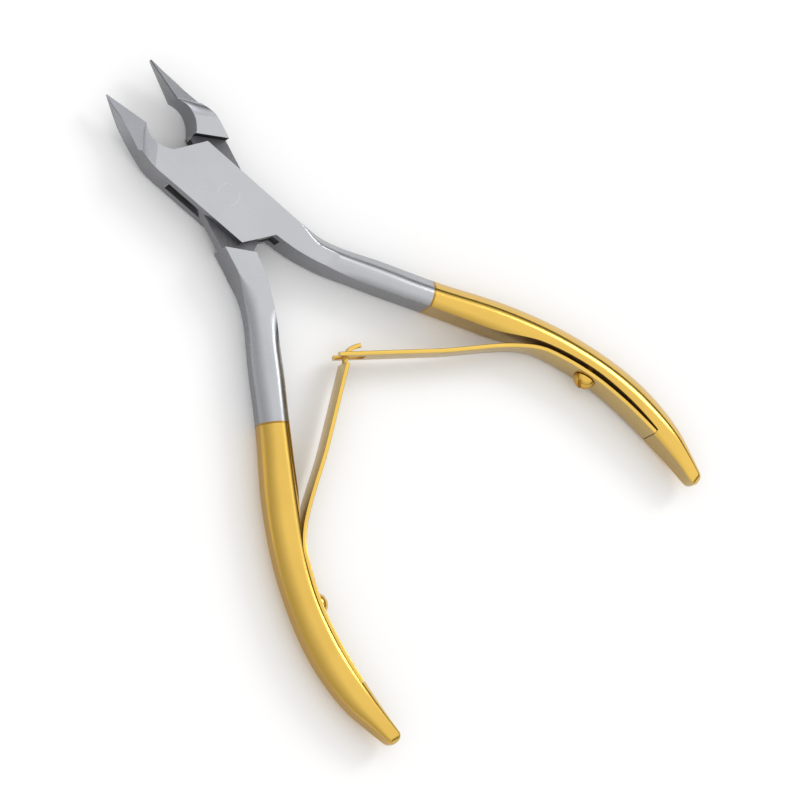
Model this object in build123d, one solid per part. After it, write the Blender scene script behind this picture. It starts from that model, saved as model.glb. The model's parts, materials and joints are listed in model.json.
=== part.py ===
from build123d import *
import math
import os

# Cuticle nipper, lying open on its side. Millimetres.
# Origin: on the pivot axis, at the level of the surface that the nipper lies on.
# +Y runs along the centre line towards the jaws, +Z is up along the pivot axis.
# Each lever is drawn in its closed position, with its cutting edge on the plane X = 0,
# and is then turned by OPEN_HALF to its half of the resting, sprung-open position.

# Driving dimensions
OPEN_HALF = 11.0          # each lever stands this far from the centre line at rest, degrees
HANDLE_HEIGHT = 6.0       # height of the handles, which touch the surface
BOX_HEIGHT = 5.0          # thickness of the joint, jaws and necks
MID = HANDLE_HEIGHT / 2   # height of the middle plane
EDGE_GAP = 0.04           # each cutting edge stops this far short of the centre plane

BOX_HALF_WIDTH = 4.0      # half the width of the joint plates
TONGUE_HALF_WIDTH = 3.95
TONGUE_THICKNESS = 2.0    # the middle layer that passes through the slot
SLOT_THICKNESS = 2.1
TONGUE_RADIUS = 8.15      # the rounded ends of the tongue
SLOT_RADIUS = 8.3         # the end walls of the slot
NECK_REAR = -9.4          # how far back the tongue reaches
NECK_EDGE = 0.45          # where the tongue's necks start, either side of the centre line
SLOT_EDGE = 0.55
STEP_GAP = 0.12           # between the plates and the steps of the tongue lever, at the front
REAR_STEP_GAP = 0.6       # and at the rear, where the levers swing together
SIDE_REACH = 12.0         # past the side of any joint plate

PIN_RADIUS = 1.5
PIN_HOLE_RADIUS = 1.55

SPRING_WIDTH = 3.5
SPRING_THICKNESS = 0.7
ROOT_WIDTH = 4.6          # the spring is wider where it is clamped
CHANNEL_WIDTH = 7.0       # the rebate for the spring's root runs right through the handle's height
ROOT_SUNK = 0.05          # how far the spring's root lies below the handle's inner face
CHANNEL_DEPTH = ROOT_SUNK + SPRING_THICKNESS
RELIEF_DEPTH = 0.55       # the rebate's extra depth where the blade bends back into it
RELIEF_LENGTH = 5.6       # and how far that extra depth runs
FORK_GAP = 1.6            # between the prongs at the end of the right spring
TONGUE_TIP_WIDTH = 1.0    # the left spring's narrow tip, which passes between the prongs
FORK_REACH = 1.5          # how far the prongs run past the crossing
FORK_SLOT = 2.7           # how far the opening between them runs back from the crossing
SHOULDER = 1.3            # the left blade's full width ends this far short of the crossing
FLEX_GAP = 0.15           # between a spring's clamped root and its bending blade

SCREW_HEAD_RADIUS = 1.65
SCREW_HEAD_HEIGHT = 1.4
SCREW_SHANK_RADIUS = 0.7
HEAD_LIFT = 0.07          # the flat of the head clears the slightly curved root
SCREW_SLOT_WIDTH = 0.45
SCREW_SLOT_DEPTH = 0.45
SCREW_DEPTH = 2.6

# Outline of a lever with its jaw on the left and its handle on the right, closed
TIP = (-EDGE_GAP, 21.8)
HEEL = (-EDGE_GAP, 15.25)
JAW_BACK = [TIP, (-1.5, 19.7), (-3.3, 15.9), (-BOX_HALF_WIDTH - 0.2, 11.2)]
THROAT = [HEEL, (-0.65, 14.4), (-1.2, 12.7), (-0.4, 9.9)]
PLATE_FRONT = (BOX_HALF_WIDTH, 6.95)
PLATE_CORNER = (BOX_HALF_WIDTH + 0.1, -9.9)
PLATE_REAR = (-BOX_HALF_WIDTH, -5.7)
CROTCH = (0.3, -8.75)
HANDLE_OUTER = [PLATE_CORNER, (5.2, -15.2), (11.4, -30.0), (16.3, -40.5), (20.3, -54.5),
                (20.8, -65.5), (18.2, -74.6), (16.3, -77.9)]
HANDLE_INNER = [(15.1, -76.6), (16.4, -66.0), (16.3, -56.0), (12.4, -43.0), (7.8, -31.7),
                (2.0, -17.4), CROTCH]
HANDLE_END = (15.35, -78.0)

# The ground face of a jaw: a plane through the cutting edge that falls away outwards
EDGE_HEEL = Vector(0, 15.25, MID + BOX_HEIGHT / 2)
EDGE_TIP = Vector(0, 21.8, MID + 0.7)
JAW_RIDGE = Vector(-2.1, 18.3, MID - 0.1)
GROUND_REAR = [(0.6, 15.6), (-1.9, 14.3), (-3.4, 12.9), (-5.2, 10.4)]
COVE_RADIUS = 1.4

# The lever seen from the side
FAR_FRONT = 24.0          # past the jaw's tip
JOINT_REAR = -12.5        # the joint's own height ends here,
RISE_POINTS = (-16.5, -17.0)
HANDLE_FRONT = -21.0      # and the handle's full height starts here
TAPER_FRONT = -60.0       # the handle's end tapers from here
TAPER_BEND = -71.0
FAR_REAR = -80.0          # past the handle's end
END_HALF_HEIGHT = 0.9
UNDERCUT_FRONT = 22.5     # the slope under a jaw, past the tip
UNDERCUT_REAR = 12.5      # and where it meets the joint's flat underside

# The left and right spring, at rest: the right spring's route, which the left one mirrors
RIBBON_STEPS = 10         # a blade's sides are splines through this many spans
CROSSING = (0.0, -27.9)   # where the two springs hook together
BLADE_MIDDLE = [(20.6, -42.2), (11.0, -35.55)]
TIP_CURL = [(0.95, -27.5), (2.6, -28.0)]   # the left spring's tip, past the crossing
FLEX_Y = -49.4            # stations along the closed handle: where the spring starts to bend,
CHANNEL_START = -42.8     # the reach of the rebate,
CHANNEL_END = -68.4
ROOT_END = -67.6          # the end of the spring's root
SCREW_Y = -56.0           # and the screw


def turned(point, degrees):
    """A point in the plan turned about the pivot."""
    c = math.cos(math.radians(degrees))
    s = math.sin(math.radians(degrees))
    return (point[0] * c - point[1] * s, point[0] * s + point[1] * c)


def slab(sketch, low, high):
    """A plan shape raised between two heights."""
    return extrude(Pos(0, 0, low) * sketch, amount=high - low)


def lever_outline():
    """The whole plan outline of a closed lever."""
    edges = [
        Spline(*JAW_BACK, tangents=[(-0.35, -0.94), (-0.05, -1)]),
        Line(JAW_BACK[-1], PLATE_REAR),
        Line(PLATE_REAR, CROTCH),
        Spline(*HANDLE_INNER),
        Spline(HANDLE_INNER[0], HANDLE_END, HANDLE_OUTER[-1]),
        Spline(*HANDLE_OUTER, tangents=[(0.02, -1), (-0.75, -0.66)]),
        Line(PLATE_CORNER, PLATE_FRONT),
        Line(PLATE_FRONT, THROAT[-1]),
        Spline(*THROAT),
        Line(HEEL, TIP),
    ]
    return make_face(Wire(edges))


def side_profile():
    """The lever seen from the side: flat joint, higher handle, tapered end."""
    joint_top = MID + BOX_HEIGHT / 2
    edges = []
    for sign in (1, -1):
        def at(y, above_mid):
            return (y, MID + sign * above_mid)
        joint, handle = BOX_HEIGHT / 2, HANDLE_HEIGHT / 2
        edges += [
            Line(at(FAR_FRONT, joint), at(JOINT_REAR, joint)),
            Bezier(at(JOINT_REAR, joint), at(RISE_POINTS[0], joint), at(RISE_POINTS[1], handle),
                   at(HANDLE_FRONT, handle)),
            Line(at(HANDLE_FRONT, handle), at(TAPER_FRONT, handle)),
            Bezier(at(TAPER_FRONT, handle), at(TAPER_BEND, handle), at(FAR_REAR, END_HALF_HEIGHT)),
        ]
    edges.append(Line((FAR_FRONT, joint_top), (FAR_FRONT, MID - BOX_HEIGHT / 2)))
    edges.append(Line((FAR_REAR, MID + END_HALF_HEIGHT), (FAR_REAR, MID - END_HALF_HEIGHT)))
    return extrude(Plane.YZ * make_face(Wire(edges)), amount=40, both=True)


def ground_face_cutter():
    """What the grinding wheel takes off the top of a jaw, with its rounded run-out."""
    normal = (EDGE_TIP - EDGE_HEEL).cross(JAW_RIDGE - EDGE_HEEL).normalized()
    if normal.Z < 0:
        normal = -normal
    face_plane = Plane(origin=EDGE_HEEL, x_dir=(EDGE_TIP - EDGE_HEEL), z_dir=normal)

    def on_face(x, y):
        drop = (normal.X * (x - EDGE_HEEL.X) + normal.Y * (y - EDGE_HEEL.Y)) / normal.Z
        local = face_plane.to_local_coords(Vector(x, y, EDGE_HEEL.Z - drop))
        return (local.X, local.Y)

    rear = [on_face(x, y) for x, y in GROUND_REAR]
    far = [on_face(-5.2, 26), on_face(3, 26)]
    edges = [Spline(*rear), Line(rear[-1], far[0]), Line(far[0], far[1]), Line(far[1], rear[0])]
    cutter = extrude(face_plane * make_face(Wire(edges)), amount=8)
    low = cutter.faces().sort_by(lambda f: abs((f.center() - EDGE_HEEL).dot(normal)))[0]
    rear_edge = [e for e in low.edges() if e.geom_type != GeomType.LINE]
    return fillet(rear_edge, COVE_RADIUS)


def jaw_under_cutter():
    """The slope under a jaw, from the joint's underside up to the tip."""
    corners = [(UNDERCUT_REAR, MID - BOX_HEIGHT / 2), (UNDERCUT_FRONT, MID + 0.1),
               (UNDERCUT_FRONT, -1), (UNDERCUT_REAR, -1)]
    return extrude(Plane.YZ * make_face(Polyline(*corners, close=True)), amount=12, both=True)


def inner_face_at(y):
    """The point and direction of the closed handle's inner face at a station in Y."""
    face = Spline(*HANDLE_INNER)
    low, high = 0.0, 1.0
    for _ in range(40):
        middle = (low + high) / 2
        if (face @ middle).Y < y:
            low = middle
        else:
            high = middle
    return face @ low, face % low


def inner_strip(near, far, y_low, y_high, width):
    """A strip under the handle's inner face, from one depth to another."""
    outline = lever_outline()
    strip = Pos(near, 0, 0) * outline - Pos(far, 0, 0) * outline
    window = Pos(12, (y_low + y_high) / 2) * Rectangle(30, y_high - y_low)
    return slab(strip & window, MID - width / 2, MID + width / 2)


def ribbon(points, tangents, thickness, width):
    """A flat strip on edge, bent along a route in the plan."""
    route = Spline(*points, tangents=tangents)
    sides = []
    for offset in (thickness / 2, -thickness / 2):
        side = []
        for step in range(RIBBON_STEPS + 1):
            place = route @ (step / RIBBON_STEPS)
            along = route % (step / RIBBON_STEPS)
            side.append((place.X - along.Y * offset, place.Y + along.X * offset))
        sides.append(side)
    left, right = sides
    edges = [Spline(*left), Line(left[-1], right[-1]), Spline(*right), Line(right[0], left[0])]
    return slab(make_face(Wire(edges)), MID - width / 2, MID + width / 2)


def half_plane_box(x_low, x_high, y_low, y_high):
    """A rectangle in the plan between four limits."""
    centre = Pos((x_low + x_high) / 2, (y_low + y_high) / 2)
    return centre * Rectangle(x_high - x_low, y_high - y_low)


def lever_blank():
    """A closed lever, solid right through the joint, with its spring's rebate and screw hole."""
    blank = slab(lever_outline(), 0, HANDLE_HEIGHT) & side_profile()
    blank = blank - ground_face_cutter() - jaw_under_cutter()
    channel = inner_strip(-2, CHANNEL_DEPTH, CHANNEL_END, CHANNEL_START, CHANNEL_WIDTH)
    bend = FLEX_Y - FLEX_GAP
    relief = inner_strip(0, CHANNEL_DEPTH + RELIEF_DEPTH, bend, bend + RELIEF_LENGTH, CHANNEL_WIDTH)
    return blank - channel - relief - screw_shank(SCREW_SHANK_RADIUS)


def screw_seat():
    """The plane on a spring root's face, under the screw head, facing out of the handle."""
    point, along = inner_face_at(SCREW_Y)
    outward = Vector(-along.Y, along.X, 0)
    if outward.X > 0:
        outward = -outward
    place = Vector(point.X + ROOT_SUNK - HEAD_LIFT, point.Y, MID)
    return Plane(origin=place, x_dir=(0, 0, 1), z_dir=outward)


def screw_shank(radius):
    """A spring screw's shank, or its hole, from the root's face down into the handle."""
    return screw_seat() * Pos(0, 0, -SCREW_DEPTH / 2) * Cylinder(radius, SCREW_DEPTH)


def screw():
    """A slotted round-head screw."""
    sphere = (SCREW_HEAD_RADIUS**2 + SCREW_HEAD_HEIGHT**2) / (2 * SCREW_HEAD_HEIGHT)
    dome = Pos(0, 0, SCREW_HEAD_HEIGHT - sphere) * Sphere(sphere)
    dome = dome & Pos(0, 0, SCREW_HEAD_HEIGHT / 2) * Box(9, 9, SCREW_HEAD_HEIGHT)
    slot_low = SCREW_HEAD_HEIGHT - SCREW_SLOT_DEPTH / 2
    dome = dome - Pos(0, 0, slot_low) * Rot(0, 0, 35) * Box(9, SCREW_SLOT_WIDTH, SCREW_SLOT_DEPTH)
    return screw_seat() * dome + screw_shank(SCREW_SHANK_RADIUS)


def box_lever():
    """The lever whose joint is a box: two plates with a slot between them."""
    slot = Circle(SLOT_RADIUS)
    slot = slot + half_plane_box(-SLOT_EDGE, SIDE_REACH, 0, SIDE_REACH)
    slot = slot + half_plane_box(-SIDE_REACH, SLOT_EDGE, PLATE_CORNER[1], 0)
    lever = lever_blank() - slab(slot, MID - SLOT_THICKNESS / 2, MID + SLOT_THICKNESS / 2)
    return lever - Pos(0, 0, MID) * Cylinder(PIN_RADIUS, 20)


def tongue_lever():
    """The lever whose joint is a thin tongue, drawn the same way round as the box lever."""
    front = [(-x, y + STEP_GAP) for x, y in (THROAT[-1], PLATE_FRONT)]
    rear = [(-x, y - REAR_STEP_GAP) for x, y in (PLATE_REAR, CROTCH)]

    def on_line(line, x):
        (x0, y0), (x1, y1) = line
        return (x, y0 + (y1 - y0) * (x - x0) / (x1 - x0))

    corners = [on_line(front, -9), on_line(front, 9), on_line(rear, 9), on_line(rear, -9)]
    joint_zone = slab(make_face(Polyline(*corners, close=True)), -1, 8)
    tongue = Circle(TONGUE_RADIUS) + half_plane_box(-SIDE_REACH, NECK_EDGE, 0, THROAT[-1][1])
    tongue = tongue + half_plane_box(-NECK_EDGE, SIDE_REACH, NECK_REAR, 0)
    tongue = tongue & half_plane_box(-TONGUE_HALF_WIDTH, TONGUE_HALF_WIDTH, -SIDE_REACH, SIDE_REACH)
    tongue = slab(tongue, MID - TONGUE_THICKNESS / 2, MID + TONGUE_THICKNESS / 2)
    whole = lever_blank()
    lever = (whole - joint_zone) + (tongue & (joint_zone + whole))
    return lever - Pos(0, 0, MID) * Cylinder(PIN_HOLE_RADIUS, 20)


def spring_root():
    """The clamped root of a spring, on the floor of its rebate."""
    root = inner_strip(ROOT_SUNK, CHANNEL_DEPTH, ROOT_END, FLEX_Y, ROOT_WIDTH)
    return root - screw_shank(SCREW_SHANK_RADIUS)


def flex_point():
    """Where the right spring starts to bend, with the nipper at rest."""
    point, along = inner_face_at(FLEX_Y)
    middle = ROOT_SUNK + SPRING_THICKNESS / 2
    start = turned((point.X + middle, point.Y), OPEN_HALF)
    direction = turned((along.X, along.Y), OPEN_HALF)
    return start, direction


def blade_start():
    """The start of the right blade, a small gap past the root, and its direction."""
    (x, y), (dx, dy) = flex_point()
    return (x + dx * FLEX_GAP, y + dy * FLEX_GAP), (dx, dy)


def crossing_direction():
    """The right blade's direction where it meets the left one."""
    dx = CROSSING[0] - BLADE_MIDDLE[-1][0]
    dy = CROSSING[1] - BLADE_MIDDLE[-1][1]
    length = math.hypot(dx, dy)
    return (dx / length, dy / length)


def past_crossing(distance):
    """A point on the right blade's line, so far past the crossing."""
    dx, dy = crossing_direction()
    return (CROSSING[0] + dx * distance, CROSSING[1] + dy * distance)


def right_blade():
    """The right spring's blade, which ends in two prongs."""
    start, direction = blade_start()
    end = past_crossing(FORK_REACH)
    ends = [direction, crossing_direction()]
    blade = ribbon([start, *BLADE_MIDDLE, end], ends, SPRING_THICKNESS, SPRING_WIDTH)
    length = FORK_SLOT + 2 * FORK_REACH
    x, y = past_crossing(2 * FORK_REACH - length / 2)
    angle = math.degrees(math.atan2(*reversed(crossing_direction())))
    return blade - Pos(x, y, MID) * Rot(0, 0, angle) * Box(length, 4, FORK_GAP)


def left_blade():
    """The left spring's blade, whose narrow tip passes between the prongs and curls over."""
    start, direction = blade_start()
    shoulder = past_crossing(-SHOULDER)
    ends = [direction, crossing_direction()]
    blade = ribbon([start, *BLADE_MIDDLE, shoulder], ends, SPRING_THICKNESS, SPRING_WIDTH)
    blade = mirror(blade, about=Plane.YZ)
    neck = past_crossing(-2 * SHOULDER)
    dx, dy = crossing_direction()
    route = [(-neck[0], neck[1]), *TIP_CURL]
    tip = ribbon(route, [(-dx, dy), (0.9, -0.45)], SPRING_THICKNESS, TONGUE_TIP_WIDTH)
    return blade + tip


def box_side(piece):
    """Turn a closed piece of the box lever to its place at rest."""
    return Rot(0, 0, OPEN_HALF) * piece


def tongue_side(piece):
    """Swap a closed piece to the other lever and turn it to its place at rest."""
    return Rot(0, 0, -OPEN_HALF) * mirror(piece, about=Plane.YZ)


def pieces():
    """Every piece of the nipper, by name, at rest."""
    return {
        "box_lever": box_side(box_lever()),
        "tongue_lever": tongue_side(tongue_lever()),
        "pivot_pin": Pos(0, 0, MID) * Cylinder(PIN_RADIUS, BOX_HEIGHT),
        "right_spring_root": box_side(spring_root()),
        "right_spring_blade": right_blade(),
        "right_spring_screw": box_side(screw()),
        "left_spring_root": tongue_side(spring_root()),
        "left_spring_blade": left_blade(),
        "left_spring_screw": tongue_side(screw()),
    }


os.makedirs("parts", exist_ok=True)
for name, piece in pieces().items():
    solids = piece.solids()
    shape = solids[0] if len(solids) == 1 else Compound(children=solids)
    print(name, len(solids), round(shape.volume, 2), shape.is_valid)
    export_step(shape, f"parts/{name}.step")
flex, _ = flex_point()
print("right flex point", [round(value, 3) for value in flex])
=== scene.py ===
# %% [markdown]
# # A cuticle nipper, lying open
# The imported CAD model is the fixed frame: every body, joint and size comes from it.
# This script makes the finished steel and gold surfaces around that frame, then the studio.
# The nipper has two crossed levers, a ground-flush rivet, two hooked leaf springs and two screws.

# %% Load the frame
import json
import math
import bmesh
import bpy
import numpy as np
from mathutils import Matrix, Vector


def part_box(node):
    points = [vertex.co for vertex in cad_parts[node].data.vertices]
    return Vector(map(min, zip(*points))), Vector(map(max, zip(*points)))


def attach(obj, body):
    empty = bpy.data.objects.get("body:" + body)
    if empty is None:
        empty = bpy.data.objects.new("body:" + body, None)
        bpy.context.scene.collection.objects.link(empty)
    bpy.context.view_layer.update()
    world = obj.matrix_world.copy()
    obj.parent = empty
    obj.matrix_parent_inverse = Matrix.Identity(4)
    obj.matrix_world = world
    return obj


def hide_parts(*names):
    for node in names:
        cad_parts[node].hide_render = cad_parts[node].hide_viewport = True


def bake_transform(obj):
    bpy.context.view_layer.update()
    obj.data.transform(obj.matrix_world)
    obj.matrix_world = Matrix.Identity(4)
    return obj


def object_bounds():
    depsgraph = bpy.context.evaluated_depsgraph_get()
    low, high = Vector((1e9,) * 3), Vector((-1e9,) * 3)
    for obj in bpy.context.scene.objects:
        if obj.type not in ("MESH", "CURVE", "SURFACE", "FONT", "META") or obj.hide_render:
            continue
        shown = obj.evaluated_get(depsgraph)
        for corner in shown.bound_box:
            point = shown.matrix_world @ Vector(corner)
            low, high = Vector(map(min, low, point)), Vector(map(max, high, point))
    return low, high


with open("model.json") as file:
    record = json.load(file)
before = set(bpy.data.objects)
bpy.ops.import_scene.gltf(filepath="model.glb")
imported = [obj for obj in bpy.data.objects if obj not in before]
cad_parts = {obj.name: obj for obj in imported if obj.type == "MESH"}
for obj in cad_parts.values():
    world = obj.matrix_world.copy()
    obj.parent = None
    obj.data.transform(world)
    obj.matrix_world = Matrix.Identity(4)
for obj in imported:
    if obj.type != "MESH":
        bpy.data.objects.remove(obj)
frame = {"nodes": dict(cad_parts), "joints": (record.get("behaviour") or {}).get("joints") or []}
cad_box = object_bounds()
print("CAD box in metres:", [[round(v, 4) for v in corner] for corner in cad_box])

# %% [markdown]
# ## Sizes that come from the frame
# The joint's plates lie between the top and bottom of the pin, and the handles between the
# surface and the model's top.
# Everything below is drawn in millimetres and made metres by one function at the end.

# %% Sizes
MM = 0.001
joints = {joint["name"]: joint for joint in frame["joints"]}
pin_low, pin_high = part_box("pivot_pin")
PLATE_LOW = pin_low.z / MM
PLATE_TOP = pin_high.z / MM
HANDLE_TOP = cad_box[1][2] / MM
MID = HANDLE_TOP / 2
PIN_RADIUS = (pin_high.x - pin_low.x) / 2 / MM
OPEN_HALF = math.radians(joints["pivot"]["range_deg"][1] / 2)
blade_low, blade_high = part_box("right_spring_blade")
SPRING_WIDTH = (blade_high.z - blade_low.z) / MM

# %% [markdown]
# ## Smooth curves through a few points
# A forged lever has long, fair curves. Each is given by a few places along the lever and
# a cubic curve through them, which stays smooth where a straight-line outline would not.
# The slopes are the mean of the neighbouring spans, so the curve doesn't overshoot.

# %% Curve helper
def curve_through(points):
    """A function of y that passes smoothly through (x, y) points, listed by falling y."""
    ys = np.array([y for _, y in points][::-1], float)
    xs = np.array([x for x, _ in points][::-1], float)
    spans = np.diff(xs) / np.diff(ys)
    slopes = np.concatenate([spans[:1], (spans[:-1] + spans[1:]) / 2, spans[-1:]])

    def value(y):
        y = float(np.clip(y, ys[0], ys[-1]))
        i = int(np.clip(np.searchsorted(ys, y) - 1, 0, len(ys) - 2))
        h = ys[i + 1] - ys[i]
        t = (y - ys[i]) / h
        a, b = xs[i], xs[i + 1]
        return ((2 * t**3 - 3 * t**2 + 1) * a + (t**3 - 2 * t**2 + t) * h * slopes[i]
                + (-2 * t**3 + 3 * t**2) * b + (t**3 - t**2) * h * slopes[i + 1])
    return value


def ramp(y, start, end):
    """0 before start and 1 past end, with a smooth step between."""
    t = min(max((y - start) / (end - start), 0.0), 1.0)
    return t * t * (3 - 2 * t)


# %% [markdown]
# ## The outline of a lever
# Both levers have the same outline, one the mirror of the other. It is drawn in the closed
# position, with the jaw on the left, the handle on the right and the cutting edge at x = 0.
# At each station along y the lever reaches from a left limit to a right limit.

# %% Outline of a closed lever
TIP_Y, HEEL_Y = 21.8, 15.25
THROAT_END = (-0.4, 9.9)
PLATE_FRONT = (4.0, 6.95)
PLATE_CORNER = (4.1, -9.9)
PLATE_REAR = (-4.0, -5.7)
CROTCH = (0.3, -8.75)

jaw_back = curve_through([(-0.3, TIP_Y), (-0.95, 20.7), (-1.75, 19.2), (-2.6, 17.4), (-3.35, 15.2),
                          (-3.9, 13.0), (-4.2, 11.2)])
throat = curve_through([(-0.04, HEEL_Y), (-0.55, 14.6), (-1.0, 13.7), (-1.2, 12.7), (-1.1, 11.5),
                        (-0.75, 10.6), THROAT_END])
inner_face = curve_through([CROTCH, (0.75, -12.6), (2.0, -17.4), (4.6, -24.3), (7.8, -31.7),
                            (12.4, -43.0), (14.9, -50.0), (16.2, -56.0), (16.55, -61.5),
                            (16.4, -66.0), (15.95, -70.5), (15.4, -74.3), (14.89, -76.75)])
outer_face = curve_through([PLATE_CORNER, (4.55, -12.6), (5.6, -16.4), (8.3, -22.4), (11.5, -30.2),
                            (16.3, -40.5), (18.9, -48.0), (20.3, -54.5), (20.95, -61.5),
                            (20.6, -66.5), (19.5, -71.3), (18.1, -74.6), (16.89, -77.4)])
END_CENTRE, END_RADIUS = (15.93, -76.95), 1.06


def between(a, b, y):
    """The x on the straight line from point a to point b."""
    return a[0] + (b[0] - a[0]) * (y - a[1]) / (b[1] - a[1])


def end_reach(y):
    """Half the width of the handle's rounded end."""
    return math.sqrt(max(END_RADIUS**2 - (y - END_CENTRE[1]) ** 2, 1e-4))


def left_limit(y):
    if y < -76.75:
        return END_CENTRE[0] - end_reach(y)
    if y > 11.2:
        return jaw_back(y)
    if y > PLATE_REAR[1]:
        return between((-4.2, 11.2), PLATE_REAR, y)
    if y > CROTCH[1]:
        return between(PLATE_REAR, CROTCH, y)
    return inner_face(y)


def right_limit(y):
    if y < -77.4:
        return END_CENTRE[0] + end_reach(y)
    if y > HEEL_Y:
        return -0.04
    if y > THROAT_END[1]:
        return throat(y)
    if y > PLATE_FRONT[1]:
        return between(THROAT_END, PLATE_FRONT, y)
    if y > PLATE_CORNER[1]:
        return between(PLATE_FRONT, PLATE_CORNER, y)
    return outer_face(y)


# %% [markdown]
# ## Shared finishes
# The steel is one continuous satin polish: fine scratches, slight waviness and a little skin
# oil. Nodes could be added and linked one by one, but a few helpers keep each finish short
# enough to read. Patterns use Object coordinates, so a millimetre is the same on every piece.

# %% Node helpers
WEAR = "wear"               # the mesh attribute that marks sharp corners


def new_group(name, inputs, outputs):
    """A shader node group with named sockets, and its input and output nodes."""
    group = bpy.data.node_groups.new(name, "ShaderNodeTree")
    for socket, kind, value in inputs:
        item = group.interface.new_socket(socket, in_out="INPUT", socket_type=kind)
        item.default_value = value
    for socket, kind in outputs:
        group.interface.new_socket(socket, in_out="OUTPUT", socket_type=kind)
    return group, group.nodes.new("NodeGroupInput"), group.nodes.new("NodeGroupOutput")


def feed(tree, slot, value):
    """Put a plain value on a socket, or link another node's output to it."""
    if isinstance(value, (int, float, tuple)):
        slot.default_value = value
    else:
        tree.links.new(value, slot)


def math_node(tree, operation, *values):
    """A math node fed by sockets or plain numbers; returns its output."""
    node = tree.nodes.new("ShaderNodeMath")
    node.operation = operation
    for slot, value in zip(node.inputs, values):
        feed(tree, slot, value)
    return node.outputs[0]


def noise(tree, vector, scale, detail=2.0, rough=0.5):
    """A noise texture's value."""
    node = tree.nodes.new("ShaderNodeTexNoise")
    for name, value in (("Vector", vector), ("Scale", scale), ("Detail", detail),
                        ("Roughness", rough)):
        feed(tree, node.inputs[name], value)
    return node.outputs[0]


def spread(tree, value, low, high, out_low, out_high):
    """Map a range of values to another, with the ends held."""
    node = tree.nodes.new("ShaderNodeMapRange")
    for name, number in (("From Min", low), ("From Max", high),
                         ("To Min", out_low), ("To Max", out_high)):
        node.inputs[name].default_value = number
    tree.links.new(value, node.inputs["Value"])
    return node.outputs[0]


def mix_colour(tree, factor, a, b):
    """A colour mix of two colours or sockets by a factor socket."""
    node = tree.nodes.new("ShaderNodeMix")
    node.data_type = "RGBA"
    for index, value in ((0, factor), (6, a), (7, b)):
        feed(tree, node.inputs[index], value)
    return node.outputs[2]


# %% [markdown]
# ## Effects that every metal shares
# Grain, handling marks, corner wear and the painted shade that darkens side walls are each
# a node group, built once and placed in every metal with its own numbers. Painted images could
# do the same, but noise needs no picture and has no seams. The shader stays in the material.

# %% Shared groups
def grain_group():
    """Fine polishing grain: a value that is long in one direction and short across it."""
    group, gin, gout = new_group(
        "Polishing grain",
        [("Scale", "NodeSocketFloat", 900.0), ("Stretch", "NodeSocketFloat", 14.0),
         ("Turn", "NodeSocketFloat", 0.0)],
        [("Grain", "NodeSocketFloat")])
    coord = group.nodes.new("ShaderNodeTexCoord").outputs["Object"]
    turn = group.nodes.new("ShaderNodeVectorRotate")
    turn.rotation_type = "Z_AXIS"
    group.links.new(coord, turn.inputs["Vector"])
    group.links.new(gin.outputs["Turn"], turn.inputs["Angle"])
    sizes = group.nodes.new("ShaderNodeCombineXYZ")
    group.links.new(gin.outputs["Scale"], sizes.inputs[0])
    group.links.new(math_node(group, "DIVIDE", gin.outputs["Scale"], gin.outputs["Stretch"]),
                    sizes.inputs[1])
    group.links.new(gin.outputs["Scale"], sizes.inputs[2])
    scaled = group.nodes.new("ShaderNodeVectorMath")
    scaled.operation = "MULTIPLY"
    group.links.new(turn.outputs[0], scaled.inputs[0])
    group.links.new(sizes.outputs[0], scaled.inputs[1])
    group.links.new(noise(group, scaled.outputs[0], 1.0, rough=0.55), gout.inputs[0])
    return group


def patina_group():
    """Broad, faint clouds: handling marks that change the gloss a little."""
    group, gin, gout = new_group("Handling", [("Scale", "NodeSocketFloat", 120.0)],
                                 [("Clouds", "NodeSocketFloat")])
    coord = group.nodes.new("ShaderNodeTexCoord").outputs["Object"]
    clouds = noise(group, coord, gin.outputs["Scale"], 4.0)
    group.links.new(spread(group, clouds, 0.35, 0.65, 0.0, 1.0), gout.inputs[0])
    return group


def wear_group():
    """How worn a place is: near a sharp corner, broken up by a fine noise."""
    group, gin, gout = new_group("Corner wear", [("Breakup", "NodeSocketFloat", 700.0)],
                                 [("Wear", "NodeSocketFloat")])
    attribute = group.nodes.new("ShaderNodeAttribute")
    attribute.attribute_name = WEAR
    coord = group.nodes.new("ShaderNodeTexCoord").outputs["Object"]
    broken = math_node(group, "ADD", noise(group, coord, gin.outputs["Breakup"]), 0.4)
    value = math_node(group, "MULTIPLY", attribute.outputs["Fac"], broken)
    group.links.new(spread(group, value, 0.35, 0.95, 0.0, 1.0), gout.inputs[0])
    return group


def side_shade_mask_group():
    """1 where a surface faces up or down, 0 on a side wall: the mix factor for painted shade on
    side walls.
    """
    group, gin, gout = new_group(
        "Facing up",
        [("From", "NodeSocketFloat", 0.25), ("To", "NodeSocketFloat", 0.85)],
        [("Mask", "NodeSocketFloat")])
    axes = group.nodes.new("ShaderNodeSeparateXYZ")
    group.links.new(group.nodes.new("ShaderNodeTexCoord").outputs["Normal"], axes.inputs[0])
    steps = group.nodes.new("ShaderNodeMapRange")
    steps.interpolation_type = "SMOOTHSTEP"
    group.links.new(math_node(group, "ABSOLUTE", axes.outputs["Z"]), steps.inputs["Value"])
    group.links.new(gin.outputs["From"], steps.inputs["From Min"])
    group.links.new(gin.outputs["To"], steps.inputs["From Max"])
    group.links.new(steps.outputs[0], gout.inputs[0])
    return group


def bump_group():
    """A normal lowered by the grain, in metres, so that it means the same on every piece."""
    group, gin, gout = new_group(
        "Surface relief",
        [("Height", "NodeSocketFloat", 0.5), ("Depth mm", "NodeSocketFloat", 0.002)],
        [("Normal", "NodeSocketVector")])
    bump = group.nodes.new("ShaderNodeBump")
    group.links.new(gin.outputs["Height"], bump.inputs["Height"])
    feed(group, bump.inputs["Distance"], math_node(group, "MULTIPLY", gin.outputs["Depth mm"], MM))
    group.links.new(bump.outputs[0], gout.inputs[0])
    return group


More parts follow.
